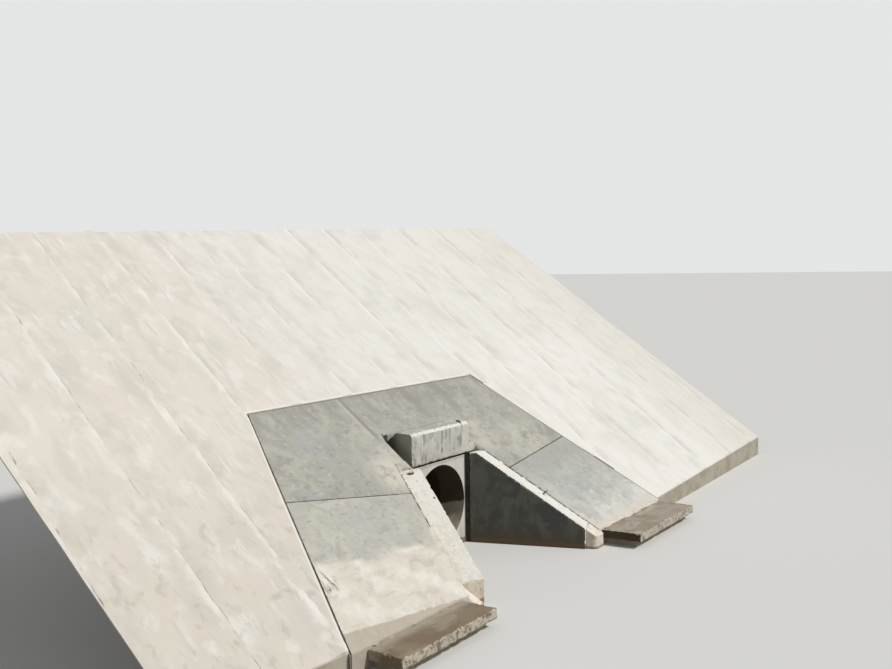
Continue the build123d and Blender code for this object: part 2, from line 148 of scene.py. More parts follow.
def set_world():
    """Even sky for the object, and a pale backdrop for the camera."""
    world = bpy.data.worlds.new("pale_backdrop")
    world.use_nodes = True
    sky, _ = lit_and_seen(world.node_tree, "ShaderNodeBackground", "ShaderNodeOutputWorld",
                          (0.93, 0.97, 1.0), (0.78, 0.79, 0.79))
    sky.inputs["Strength"].default_value = 0.3
    bpy.context.scene.world = world


def lay_floor():
    mesh = bpy.data.meshes.new("floor")
    corners = [(x * FLOOR_REACH, y * FLOOR_REACH, 0) for x, y in ((-1, -1), (1, -1), (1, 1), (-1, 1))]
    mesh.from_pydata(corners, [], [(0, 1, 2, 3)])
    material = bpy.data.materials.new("pale_floor")
    material.use_nodes = True
    lit_and_seen(material.node_tree, "ShaderNodeBsdfDiffuse", "ShaderNodeOutputMaterial",
                 (0.3, 0.28, 0.25), (0.78, 0.77, 0.75))
    mesh.materials.append(material)
    floor = add_object("floor", mesh)


# Patterns, used both by the finishes and by the shapes

class Pattern:
    """Masks and clouds over the headwall's own places, in a material's or a shape's node tree."""

    def __init__(self, tree, plan, slope=False):
        self.tree = tree
        self.plan = plan
        self.place = self.on_slope() if slope else plan

    def node(self, kind, **settings):
        made = self.tree.nodes.new(kind)
        for key, value in settings.items():
            setattr(made, key, value)
        return made

    def join(self, value, socket):
        if isinstance(value, (int, float, tuple, Vector)):
            socket.default_value = value
        else:
            self.tree.links.new(value, socket)

    def vector(self, operation, a, b, result=0):
        made = self.node("ShaderNodeVectorMath", operation=operation)
        self.join(a, made.inputs[0])
        self.join(b, made.inputs[1])
        return made.outputs[result]

    def scaled(self, vector, factor):
        made = self.node("ShaderNodeVectorMath", operation="SCALE")
        self.join(vector, made.inputs[0])
        self.join(factor, made.inputs["Scale"])
        return made.outputs[0]

    def length(self, vector):
        return self.vector("LENGTH", vector, (0.0, 0.0, 0.0), "Value")

    def on_slope(self):
        """Distances along the slope, up it and out of its face."""
        face = self.vector("SUBTRACT", self.plan, (0.0, 0.0, FACE_LEVEL))
        turned = self.node("ShaderNodeCombineXYZ")
        for way, socket in zip((Vector(RIGHTWARD), UP_SLOPE, SLOPE_OUT), turned.inputs):
            self.join(self.vector("DOT_PRODUCT", face, way, "Value"), socket)
        return turned.outputs[0]

    def axis(self, letter):
        split = self.node("ShaderNodeSeparateXYZ")
        self.join(self.place, split.inputs[0])
        return split.outputs[letter]

    def stretched(self, size, stretch=(1, 1, 1), shift=(0, 0, 0)):
        """Places in units of size, which is a number, or a socket where a shape is given it."""
        if isinstance(size, float):
            units = self.vector("MULTIPLY", self.place, tuple(1 / (size * s) for s in stretch))
        else:
            even = self.vector("MULTIPLY", self.place, tuple(1 / s for s in stretch))
            units = self.scaled(even, self.sum("DIVIDE", 1.0, size))
        return self.vector("ADD", units, shift)

    def noise(self, size, detail=4.0, rough=0.55, stretch=(1, 1, 1), shift=(0, 0, 0), warp=0.0):
        """Cloudy pattern whose patches are about size metres across."""
        made = self.node("ShaderNodeTexNoise")
        made.inputs["Scale"].default_value = 1.0
        made.inputs["Detail"].default_value = detail
        made.inputs["Roughness"].default_value = rough
        made.inputs["Distortion"].default_value = warp
        self.join(self.stretched(size, stretch, shift), made.inputs["Vector"])
        return made.outputs[0]

    def clouds(self, low, high, size, *how, **more):
        """The patches of a noise: 0 where it is below low, 1 above high."""
        return self.band(self.noise(size, *how, **more), low, high)

    def wavy(self, distance, reach, size, *how, **more):
        """A distance whose lines wander by a noise times reach."""
        return self.sum("ADD", distance, self.times(self.noise(size, *how, **more), reach))

    def cells(self, size, shift=(0, 0, 0)):
        made = self.node("ShaderNodeTexVoronoi")
        made.inputs["Scale"].default_value = 1.0
        self.join(self.stretched(size, shift=shift), made.inputs["Vector"])
        return made.outputs["Distance"]

    def band(self, value, low, high, smooth=True):
        """0 below low, 1 above high. With low above high it falls."""
        made = self.node("ShaderNodeMapRange", interpolation_type="SMOOTHSTEP" if smooth else "LINEAR")
        self.join(value, made.inputs["Value"])
        made.inputs["From Min"].default_value = min(low, high)
        made.inputs["From Max"].default_value = max(low, high)
        made.inputs["To Min"].default_value = 0.0 if low < high else 1.0
        made.inputs["To Max"].default_value = 1.0 if low < high else 0.0
        return made.outputs[0]

    def sum(self, operation, a, b=0.0):
        made = self.node("ShaderNodeMath", operation=operation)
        self.join(a, made.inputs[0])
        self.join(b, made.inputs[1])
        return made.outputs[0]

    def times(self, *values):
        total = values[0]
        for value in values[1:]:
            total = self.sum("MULTIPLY", total, value)
        return total

    def line(self, value, at, half, soft):
        """1 within half of at, 0 beyond half plus soft."""
        apart = self.sum("ABSOLUTE", self.sum("SUBTRACT", value, at))
        return self.band(apart, half + soft, half)

    def along(self, way, start=0.0):
        """Plan distance of a point along a way, from start."""
        way = Vector(way).to_3d()
        return self.sum("SUBTRACT", self.vector("DOT_PRODUCT", self.plan, way, "Value"), start)

    def spot(self, centre, radius, soft):
        """1 round a point, falling to 0 over soft."""
        apart = self.vector("DISTANCE", self.plan, centre, "Value")
        return self.band(apart, radius + soft, radius)

    def stroke(self, points, half, soft):
        """1 along a line that is drawn from point to point."""
        nearest = 1.0
        for start, end in zip(points, points[1:]):
            start, run = Vector(start), Vector(end) - Vector(start)
            off = self.vector("SUBTRACT", self.plan, start)
            share = self.sum("DIVIDE", self.vector("DOT_PRODUCT", off, run, "Value"), run.length_squared)
            foot = self.scaled(run, self.band(share, 0.0, 1.0, smooth=False))
            nearest = self.sum("MINIMUM", nearest, self.vector("DISTANCE", off, foot, "Value"))
        return self.band(nearest, half + soft, half)

    def facing(self, way, low=0.8, high=0.95):
        """1 where the surface looks along a way."""
        normal = self.node("ShaderNodeNewGeometry").outputs["Normal"]
        return self.band(self.vector("DOT_PRODUCT", normal, way, "Value"), low, high)

    def panel_gap(self):
        """Distance in plan outside the panel's top and side edges."""
        gap = self.along((0, 1), PANEL_TOP)
        for reach, splay in PANEL_SIDES:
            way = Vector((math.copysign(math.cos(splay), reach), math.sin(splay)))
            gap = self.sum("MAXIMUM", gap, self.along(way, way.dot((reach, PANEL_TOP))))
        return gap

    def lap_waver(self):
        """How far a mat's edge wanders from its straight line."""
        lone = self.noise(0.3, 3, 0.6, stretch=(2.2, 1, 1), shift=(3, 1, 0))
        return self.times(self.sum("SUBTRACT", lone, 0.5), 0.075)

    def lap_gap(self):
        """Distance to the right of the nearest lap's edge, on the mats."""
        way = Vector((math.cos(MAT_SKEW), -math.sin(MAT_SKEW), 0.0))
        run = self.vector("DOT_PRODUCT", self.place, way, "Value")
        straight = self.sum("SUBTRACT", run, way.dot((0, MAT_PIVOT, 0)))
        across = self.sum("SUBTRACT", straight, self.lap_waver())
        gaps = []
        for start, pitch in MAT_RUNS:
            turns = self.sum("FLOORED_MODULO", self.sum("ADD", across, pitch / 2 - start), pitch)
            gaps.append(self.sum("SUBTRACT", turns, pitch / 2))
        narrow, wide = gaps
        on_wide = self.sum("GREATER_THAN", across, MAT_RUNS[1][0])
        return self.sum("ADD", narrow, self.times(on_wide, self.sum("SUBTRACT", wide, narrow)))

    def across_wing(self, side):
        """Plan distance outwards from a wing wall's inner face."""
        sign, throat, splay, _ = WINGS[side]
        way = Vector((sign * math.cos(splay), math.sin(splay)))
        return self.along(way, way.dot((sign * throat, 0)))

    def dusty_foot(self):
        """Where dust has dried on the left slab's foot, wider away from the channel."""
        edge = self.wavy(self.along((0.1, 1.0), -1.645), 0.03, 0.2, 4, shift=(4, 0, 2))
        return self.band(edge, 0.02, 0.005)

    def pale_foot(self, side):
        """Where hand-spread concrete covers a lower slab's foot, with a ragged upper edge."""
        if side == "left":
            straight = self.along((0.167, 1.0), -1.12)
            edge = self.wavy(straight, 0.42, 0.3, 6, 0.66, stretch=(1.5, 1, 1), warp=0.4)
            return self.band(edge, 0.2, 0.06)
        straight = self.along((-0.08, 1.0), -1.16)
        edge = self.wavy(straight, 1.3, 0.26, 6, 0.7, shift=(3, 5, 0), warp=0.5)
        return self.band(edge, 0.52, 0.22)


# Finishes

def colour(red, green, blue):
    """Colour as it is seen, 0 to 255, in the linear form that the shader takes."""
    return (*((part / 255 + 0.055) ** 2.4 / 1.055 ** 2.4 for part in (red, green, blue)), 1.0)


class Finish(Pattern):
    """A concrete finish: coats of colour laid over each other by masks, and a relief."""

    def __init__(self, name, base, roughness=0.9, slope=False):
        self.material = bpy.data.materials.new(name)
        self.material.use_nodes = True
        tree = self.material.node_tree
        self.shader = tree.nodes["Principled BSDF"]
        self.shader.inputs["Roughness"].default_value = roughness
        self.shader.inputs["Specular IOR Level"].default_value = 0.25
        place = tree.nodes.new("ShaderNodeTexCoord").outputs["Object"]
        super().__init__(tree, place, slope)
        self.top = colour(*base)
        self.heights = []

    def coat(self, tint, strength, *masks):
        """Lays a colour over the ones before it, where all the masks are 1."""
        mix = self.node("ShaderNodeMix", data_type="RGBA")
        self.join(self.times(*masks, strength), mix.inputs["Factor"])
        self.join(self.top, mix.inputs["A"])
        self.join(colour(*tint), mix.inputs["B"])
        self.top = mix.outputs["Result"]

    def relief(self, height, depth):
        """Adds a fine unevenness of this depth in metres."""
        self.heights.append(self.times(height, depth))

    def done(self):
        self.join(self.top, self.shader.inputs["Base Color"])
        total = self.heights[0]
        for height in self.heights[1:]:
            total = self.sum("ADD", total, height)
        bump = self.node("ShaderNodeBump")
        bump.inputs["Distance"].default_value = 1.0
        bump.inputs["Strength"].default_value = 1.0
        self.join(total, bump.inputs["Height"])
        self.join(bump.outputs[0], self.shader.inputs["Normal"])
        return self.material


def cast_face(finish, grain=0.0006, pits=0.0015):
    """Sandy grain and small air holes that all the cast pieces have."""
    finish.relief(finish.noise(0.02, 5, 0.7), grain)
    holes = finish.band(finish.cells(0.035), 0.17, 0.09)
    spots = finish.times(holes, finish.clouds(0.52, 0.6, 0.12, 2, shift=(3, 1, 7)))
    finish.relief(spots, -pits)
    return spots


def earth_stain(finish, level, tint=EARTH, reach=0.05):
    """Earth stain on the lowest part of what stands in the channel."""
    height = finish.wavy(finish.axis("Z"), -reach, 0.12, 4)
    finish.coat(tint, 0.85, finish.band(height, level + 0.01, level - 0.02))


def beam_finish():
    """Pale concrete with dark run-off on the front, a shaded left end and a crack near the right end."""
    finish = Finish("streaked_beam_concrete", (214, 212, 202))
    finish.coat((196, 193, 183), 0.9, finish.clouds(0.42, 0.66, 0.2, 5, warp=0.4))
    front, top = finish.facing(FORWARD), finish.facing(UPWARD)
    finish.coat((174, 171, 160), 0.85, top, finish.clouds(0.36, 0.56, 0.14, 5, 0.65))
    finish.coat((222, 219, 209), 0.8, top, finish.clouds(0.56, 0.68, 0.07, 4, 0.65, shift=(8, 2, 1)))
    for size, start, shift, tint in ((0.09, 0.48, 0, (156, 154, 144)), (0.05, 0.52, 6, (124, 122, 111)),
                                     (0.035, 0.52, 9, (236, 234, 225))):
        patch = finish.clouds(0.42, 0.62, 0.16, 4, 0.6, shift=(shift, 2, 4), warp=0.5)
        runs = finish.clouds(start, start + 0.16, size, 4, 0.6, stretch=(1, 1, 7), shift=(shift, 0, 0),
                             warp=0.25)
        finish.coat(tint, 0.8, front, patch, runs)
    for x, reach, strength in ((0.037, 0.25, 0.8), (-0.32, 0.1, 0.7), (0.2, 0.16, 0.5)):
        run = finish.stroke(((x, BEAM_FRONT, 1.5), (x - 0.008, BEAM_FRONT, 1.5 - reach)), 0.004, 0.016)
        finish.coat((112, 110, 99), strength, run, finish.clouds(0.36, 0.5, 0.03, 4, stretch=(1, 1, 3)))
    right_end, painted_shade_left_end = finish.band(finish.axis("X"), 0.43, 0.47), finish.facing(LEFTWARD)
    finish.coat((226, 225, 216), 0.6, right_end)
    # Painted highlight: the chamfer along the top front edge is made near white where it faces up and
    # forward.
    painted_highlight_arris = finish.facing((0, -0.7, 0.7), 0.86, 0.95)
    finish.coat((240, 238, 229), 0.9, painted_highlight_arris, finish.clouds(0.36, 0.46, 0.06, 4, 0.6, shift=(4, 4, 4)))
    low, left_half = finish.band(finish.axis("Z"), 1.33, 1.2), finish.band(finish.axis("X"), -0.02, -0.2)
    drips = finish.clouds(0.48, 0.6, 0.03, 3, 0.6, stretch=(1, 1, 8), shift=(2, 2, 2))
    finish.coat((140, 137, 126), 0.8, front, low, left_half, drips)
    # Painted shade: the left end, which faces away from the sun, is made darker.
    finish.coat((152, 149, 138), 0.95, painted_shade_left_end)
    # Painted shade: the back of the left end, beside the notch in the slab, is made darker still.
    rim = finish.band(finish.axis("X"), -0.49, -0.53)
    finish.coat((88, 85, 76), 0.8, rim, finish.band(finish.axis("Y"), 0.14, 0.3))
    corner = (0.46, 0.03, BEAM_TOP)
    down = finish.stroke(((0.462, -0.016, 1.44), (0.452, -0.016, 1.49), (0.458, BEAM_FRONT, 1.52), corner),
                         0.003, 0.004)
    across = finish.stroke((corner, (0.49, 0.08, BEAM_TOP), (0.56, 0.12, BEAM_TOP), (0.585, 0.2, BEAM_TOP),
                            (0.588, 0.35, BEAM_TOP)), 0.02, 0.01)
    crack = finish.sum("MAXIMUM", down, across)
    finish.coat((50, 47, 40), 0.95, crack)
    finish.relief(crack, -0.006)
    spots = cast_face(finish, grain=0.001, pits=0.003)
    finish.coat((120, 118, 108), 0.7, spots)
    return finish.done()


def shaded_bore(finish, wall, damp):
    """Near-black inside of the pipe, painted shade with damp patches, and a pale bottom that is partly a
    dried silty deposit and partly a painted patch of sunlight.
    """
    off_axis = finish.node("ShaderNodeCombineXYZ")
    finish.join(finish.axis("X"), off_axis.inputs[0])
    finish.join(finish.sum("SUBTRACT", finish.axis("Z"), BORE_HEIGHT), off_axis.inputs[2])
    inside = finish.band(finish.length(off_axis.outputs[0]), 0.506, 0.501)
    # Painted shade: the whole inside of the bore is made near black.
    finish.coat(wall, 1.0, inside)
    finish.coat(damp, 0.9, inside, finish.clouds(0.4, 0.7, 0.3, 5))
    # Pale bottom: a dried deposit, and also a painted patch of the sunlight that falls into the mouth.
    height = finish.wavy(finish.axis("Z"), -0.06, 0.2, 4)
    shore = finish.sum("ADD", height, finish.times(finish.axis("Y"), 0.22))
    silt_and_sunlit_patch = finish.times(inside, finish.band(shore, 0.53, 0.49))
    finish.coat((190, 183, 168), 0.92, silt_and_sunlit_patch)
    finish.coat((164, 153, 135), 0.7, silt_and_sunlit_patch, finish.clouds(0.45, 0.6, 0.12, 5))


def portal_finish():
    finish = Finish("portal_face_concrete", (230, 226, 217))
    finish.coat((212, 208, 198), 0.9, finish.clouds(0.42, 0.7, 0.25, 5))
    finish.coat((190, 187, 176), 0.5, finish.clouds(0.55, 0.75, 0.05, 3, stretch=(1, 1, 8)))
    front = finish.facing(FORWARD)
    # Painted shadow: a darker band along the top of the front face, under the beam.
    finish.coat((150, 146, 135), 0.5, finish.band(finish.axis("Z"), 1.08, 1.125), front)
    # Painted shade: a dark line down the front face in the corner against the right wing wall.
    throat = WINGS["right"][1]
    finish.coat((70, 66, 58), 0.9, finish.line(finish.axis("X"), throat, 0.01, 0.008), front)
    shaded_bore(finish, (82, 72, 57), (68, 61, 48))
    earth_stain(finish, 0.06)
    cast_face(finish)
    return finish.done()


def pipe_finish():
    finish = Finish("spun_pipe_concrete", (176, 172, 160))
    finish.coat((150, 146, 134), 0.9, finish.clouds(0.4, 0.7, 0.3, 5))
    finish.coat((138, 118, 96), 0.8, finish.band(finish.axis("Z"), 0.2, 0.05))
    shaded_bore(finish, (56, 50, 40), (44, 40, 32))
    cast_face(finish)
    return finish.done()


def wing_finish(side):
    """Bleached top, and for the right wall a dark face towards the channel: painted shade with stains on it.
    """
    if side == "left":
        finish = Finish("left_wing_concrete", (229, 225, 215))
        finish.coat((214, 207, 194), 0.6, finish.clouds(0.48, 0.66, 0.11, 5, 0.58, warp=0.4))
        low = finish.band(finish.axis("Y"), -0.55, -1.0)
        worn_part = finish.times(low, finish.clouds(0.5, 0.62, 0.05, 5, 0.65, shift=(2, 7, 3)))
        finish.coat((212, 204, 190), 0.4, worn_part)
        finish.relief(worn_part, -0.002)
        # Painted shade: a dark slot on the wing's top, under the front edge of the fill.
        from_slot = finish.vector("SUBTRACT", finish.place, (-0.766, -0.156, 0.0))
        slot = finish.length(finish.vector("MULTIPLY", from_slot, (1 / 0.066, 1 / 0.02, 0.0)))
        finish.coat((66, 59, 48), 0.95, finish.band(slot, 1.1, 0.85))
        finish.coat((74, 66, 54), 0.9, finish.spot((-0.762, -0.492, 0.91), 0.012, 0.01))
    else:
        finish = Finish("right_wing_concrete", (238, 235, 228))
        finish.coat((220, 214, 203), 0.7, finish.clouds(0.5, 0.68, 0.09, 5, 0.62))
    upright = finish.facing(UPWARD, 0.5, 0.3)
    stain = finish.clouds(0.4, 0.6, 0.22, 6, 0.62, stretch=(1, 1, 1.6), warp=0.6)
    if side == "right":
        face = finish.times(upright, finish.facing(LEFTWARD, 0.5, 0.8))
        # Painted shade: the right wall's face towards the channel is darkened all over; real stains, rubbing
        # and damp are laid over it.
        finish.coat((122, 122, 115), 1.0, face)
        finish.coat((98, 100, 98), 0.9, face, stain)
        rubbed = finish.clouds(0.56, 0.68, 0.13, 4, 0.6, shift=(4, 4, 8), warp=0.5)
        finish.coat((128, 129, 125), 0.6, face, rubbed)
        damp = finish.band(finish.wavy(finish.axis("Z"), 0.3, 0.2, 4), 0.45, 0.2)
        finish.coat((112, 103, 88), 0.85, face, damp)
    else:
        nose = finish.times(upright, finish.facing(FORWARD, 0.5, 0.8))
        finish.coat((222, 212, 192), 0.95, nose)
        finish.coat((198, 184, 160), 0.6, nose, finish.clouds(0.5, 0.62, 0.06, 4, 0.6))
        face = finish.times(upright, finish.facing(RIGHTWARD, 0.5, 0.8))
        finish.coat((184, 178, 164), 0.9, face)
        finish.coat((150, 146, 134), 0.7, face, stain)
    shaded_dirty_edge(finish, side)
    earth_stain(finish, 0.04)
    spots = cast_face(finish, pits=0.003)
    finish.coat((128, 120, 106), 0.7, spots)
    pock = finish.band(finish.cells(0.12, shift=(5, 3, 2)), 0.09, 0.06)
    finish.coat((104, 96, 84), 0.5, pock)
    finish.relief(pock, -0.004)
    return finish.done()


def shaded_dirty_edge(finish, side):
    """Broken dark line along the outer edge of a wing wall's top: painted shade where the slab meets it, and
    dirt.
    """
    reach, start, dirt = (0.036, 0.38, (58, 47, 36)) if side == "right" else (0.018, 0.44, (110, 100, 86))
    inner = WINGS[side][3] - reach
    edge = finish.band(finish.across_wing(side), inner, inner + 0.01)
    broken = finish.clouds(start, start + 0.1, 0.07, 4, 0.6, shift=(6, 1, 1))
    # Painted shade and dirt in a broken dark line along the edge.
    finish.coat(dirt, 0.9, edge, broken, finish.facing(UPWARD, 0.02, 0.15))


# Each slab's base colour, and its light, dark and cool patches
SLAB_TINTS = {
    "upper": ((175, 172, 162), (189, 186, 175), (157, 154, 145), (177, 178, 174)),
    "left": ((191, 188, 178), (201, 198, 187), (174, 171, 161), (187, 187, 181)),
    "right": ((187, 187, 181), (200, 200, 194), (171, 169, 161), (181, 184, 180)),
}


def slab_finish(part):
    """Trowelled grey slab, mottled and smeared, with duller cut edges."""
    base, light, dark, cool = SLAB_TINTS[part]
    finish = Finish(f"{part}_slab_concrete", base, slope=True)
    finish.coat(light, 0.85, finish.clouds(0.45, 0.62, 0.5, 6, 0.62, warp=0.7))
    finish.coat(dark, 0.75, finish.clouds(0.5, 0.66, 0.28, 6, 0.62, shift=(4, 2, 0), warp=0.5))
    finish.coat(cool, 0.8, finish.clouds(0.5, 0.66, 0.7, 4, 0.6, shift=(1, 9, 0), warp=0.5))
    finish.coat(light, 0.7, finish.clouds(0.52, 0.68, 0.13, 5, 0.62, shift=(9, 4, 0), warp=0.5))
    smeared = finish.clouds(0.54, 0.7, 0.09, 5, 0.6, stretch=(1.4, 1, 1), shift=(3, 6, 0), warp=0.6)
    finish.coat(dark, 0.8, smeared)
    scuffs = finish.clouds(0.58, 0.72, 0.06, 4, 0.6, stretch=(2, 1, 1), shift=(7, 1, 0), warp=0.5)
    finish.coat((138, 135, 125), 0.5, scuffs)
    wiped = finish.clouds(0.56, 0.72, 0.07, 4, 0.6, stretch=(1.6, 1, 1), shift=(2, 9, 0), warp=0.5)
    finish.coat((208, 206, 197), 0.5, wiped)
    finish.coat((142, 138, 126), 0.6, finish.band(finish.axis("Z"), -0.012, -0.03))
    if part == "upper":
        dress_upper_slab(finish)
    else:
        dress_lower_slab(finish, part)
    finish.relief(finish.noise(0.12, 4), 0.004)
    spots = cast_face(finish)
    finish.coat(dark, 0.6, spots)
    return finish.done()


def dress_upper_slab(finish):
    """Marks of the upper slab alone: pour lines, run-off below the lining, pale patches, a paler front edge
    that is painted light, and painted shade in and along the notch.
    """
    x, y = finish.along((1, 0)), finish.along((0, 1))
    pour = finish.wavy(x, 0.12, 0.25, 4, 0.6, stretch=(1, 3, 1))
    for at, half, soft, low, high, tint, strength in (
            (-0.70, 0.012, 0.03, 0.28, 0.42, (146, 143, 134), 0.8),
            (-0.75, 0.016, 0.03, 0.28, 0.42, (198, 194, 184), 0.6),
            (0.46, 0.03, 0.1, 0.4, 0.6, (152, 149, 139), 0.6),
            (1.13, 0.03, 0.12, 0.3, 0.55, (154, 151, 141), 0.6)):
        finish.coat(tint, strength, finish.line(pour, at, half, soft), finish.band(y, low, high))
    runs = finish.clouds(0.46, 0.6, 0.14, 5, 0.6, stretch=(1, 4, 1), shift=(5, 0, 0), warp=0.4)
    finish.coat((157, 154, 144), 0.7, runs, finish.band(y, 0.45, 0.9))
    finish.coat((158, 155, 146), 0.45, finish.band(y, 0.84, 0.95))
    over_left_wing = finish.spot((-0.98, -0.1, 1.19), 0.13, 0.26)
    finish.coat((216, 209, 197), 0.9, over_left_wing, finish.clouds(0.36, 0.5, 0.2, 5, 0.6))
    left_of_beam = finish.spot((-0.74, 0.12, 1.34), 0.06, 0.22)
    finish.coat((205, 201, 189), 0.8, left_of_beam, finish.clouds(0.4, 0.55, 0.1, 5))
    right_of_beam = finish.spot((0.95, 0.12, 1.34), 0.2, 0.35)
    finish.coat((204, 201, 186), 0.75, right_of_beam, finish.clouds(0.4, 0.6, 0.22, 5, shift=(1, 1, 0)))
    by_joint = finish.spot((1.75, -0.2, 1.12), 0.2, 0.4)
    finish.coat((202, 199, 187), 0.7, by_joint, finish.clouds(0.4, 0.6, 0.2, 5, shift=(4, 1, 0)))
    # Painted light: the slab's narrow face looking forward near the portal is made paler, as bright as the
    # sunlit slope.
    front = finish.band(finish.sum("ABSOLUTE", y), 0.03, 0.01)
    finish.coat((218, 214, 203), 1.0, finish.facing(FORWARD), front)
    # Painted shade: the recess of the notch beside the beam is made dark.
    sunk = finish.band(finish.axis("Z"), -0.006, -0.02)
    finish.coat((78, 74, 65), 1.0, sunk, finish.line(x, -0.63, 0.09, 0.01), finish.band(y, -0.03, -0.01),
                finish.band(y, 0.5, 0.46))
    # Painted shadow: a black line along the notch's edge.
    rim = finish.stroke(((-0.675, -0.02, 1.25), (-0.675, 0.275, 1.454), (-0.63, 0.378, 1.527)), 0.008, 0.008)
    finish.coat((44, 40, 34), 0.9, rim)


def dress_lower_slab(finish, side):
    """Marks of a lower slab alone: the pale hand-spread foot, and its own dust and dirt."""
    foot = finish.pale_foot(side)
    finish.coat((225, 218, 205) if side == "left" else (220, 217, 208), 0.9, foot)
    blotches = finish.clouds(0.48, 0.68, 0.15, 4, 0.58, stretch=(1.6, 1, 1), shift=(2, 2, 0), warp=0.4)
    finish.coat((194, 187, 172), 0.65, foot, blotches)
    bright = finish.clouds(0.42, 0.66, 0.24, 4, 0.5, stretch=(1.4, 1, 1), shift=(6, 2, 0), warp=0.3)
    finish.coat((242, 237, 228), 0.7, foot, bright)
    finish.relief(finish.times(foot, finish.noise(0.07, 4, 0.5)), 0.008)
    y = finish.along((0, 1))
    if side == "right":
        finish.coat((170, 168, 161), 0.55, finish.band(y, -0.8, -0.45))
        washed = finish.clouds(0.4, 0.6, 0.2, 4, 0.6, warp=0.6)
        finish.coat((208, 208, 201), 0.6, finish.band(y, -0.8, -1.2), washed)
        finish.coat((222, 213, 202), 0.7, finish.band(finish.along((0, 1), PANEL_FOOT), 0.11, 0.03))
    else:
        wisps = finish.clouds(0.46, 0.56, 0.035, 4, 0.6, stretch=(1, 5, 1), warp=0.6)
        finish.coat((112, 96, 76), 0.8, finish.spot((-2.96, -0.9, 0.62), 0.06, 0.14), wisps)
        finish.coat(DUST, 0.85, finish.dusty_foot())


# Each toe slab's base colour, and its dark and pale patches
TOE_TINTS = {
    "left": ((143, 127, 107), (128, 111, 92), (166, 153, 133)),
    "right": ((170, 160, 146), (150, 138, 121), (198, 190, 177)),
}


def toe_finish(side):
    """Earth-stained top, pale ragged front edge and painted shade on the end towards the channel."""
    base, dark, pale = TOE_TINTS[side]
    finish = Finish(f"{side}_toe_concrete", base)
    finish.coat(dark, 0.8, finish.clouds(0.42, 0.62, 0.3, 5, 0.6, warp=0.4))
    scraped = finish.clouds(0.54, 0.68, 0.16, 4, 0.6, stretch=(3, 1, 1), shift=(2, 0, 0), warp=0.6)
    finish.coat(pale, 0.7, scraped)
    if side == "left":
        swept = finish.band(finish.wavy(finish.axis("Y"), 0.12, 0.2, 4), -1.6, -1.44)
        finish.coat((180, 170, 154), 0.85, swept)
    front = finish.facing(FORWARD, 0.3, 0.6)
    finish.coat((214, 206, 190), 0.85, front, finish.clouds(0.4, 0.54, 0.07, 5, 0.66))
    inward = -WINGS[side][0]
    # Painted shade: the end towards the channel is made dark brown.
    finish.coat((74, 58, 44), 0.9, finish.facing((inward, 0, 0), 0.6, 0.9))
    finish.coat((212, 203, 188), 0.8, finish.facing((inward * 0.7, 0, 0.7), 0.8, 0.93))
    earth_stain(finish, 0.07)
    cast_face(finish, grain=0.0015, pits=0.004)
    return finish.done()


def haunch_finish():
    finish = Finish("hand_placed_concrete", (243, 233, 220))
    finish.coat((226, 214, 198), 0.8, finish.clouds(0.46, 0.62, 0.08, 5, 0.62, warp=0.4))
    earth_stain(finish, 0.01, (150, 130, 108), reach=0.04)
    finish.relief(finish.noise(0.05, 4), 0.006)
    cast_face(finish, grain=0.0015)
    return finish.done()


def mortar_finish(name, base, dark):
    finish = Finish(name, base)
    finish.coat(dark, 0.8, finish.clouds(0.42, 0.62, 0.08, 5, 0.62))
    finish.coat(DUST, 0.85, finish.dusty_foot())
    finish.relief(finish.noise(0.03, 4), 0.002)
    cast_face(finish, grain=0.0015)
    return finish.done()


def fill_finish():
    """Mortar of the wedge on the left wing wall's head, palest along its front edge."""
    finish = Finish("pale_fill_mortar", (196, 192, 180), slope=True)
    finish.coat((176, 172, 160), 0.8, finish.clouds(0.42, 0.6, 0.09, 5, 0.62))
    front = finish.wavy(finish.along((0, 1), -0.11), 0.06, 0.08, 4)
    finish.coat((228, 222, 210), 0.9, finish.band(front, 0.06, 0.0))
    finish.relief(finish.noise(0.05, 4), 0.004)
    cast_face(finish, grain=0.002)
    return finish.done()


def kerb_finish():
    finish = Finish("buried_kerb_concrete", (196, 189, 174))
    finish.coat((176, 166, 148), 0.9, finish.clouds(0.4, 0.65, 0.25, 5))
    cast_face(finish, grain=0.002, pits=0.004)
    return finish.done()


def filler_finish():
    """Dark filler, dusty where it meets the panel and beside the left wing wall."""
    finish = Finish("dark_joint_filler", (52, 49, 43), roughness=0.8)
    finish.coat((108, 100, 87), 0.8, finish.clouds(0.45, 0.62, 0.08, 4))
    dusty = finish.band(finish.wavy(finish.panel_gap(), 0.008, 0.09, 4), -0.009, -0.005)
    finish.coat((206, 200, 188), 0.4, dusty)
    near_wing = finish.spot((-0.95, -0.36, 1.0), 0.12, 0.3)
    finish.coat((158, 150, 136), 0.8, near_wing, finish.clouds(0.35, 0.55, 0.1, 4))
    finish.relief(finish.noise(0.01, 4), 0.001)
    return finish.done()


def bar_finish():
    finish = Finish("rusted_bar_steel", (46, 38, 32), roughness=0.8)
    finish.shader.inputs["Metallic"].default_value = 0.3
    finish.coat((84, 60, 44), 0.7, finish.clouds(0.45, 0.65, 0.01, 4))
    finish.relief(finish.noise(0.004, 3), 0.0005)
    return finish.done()


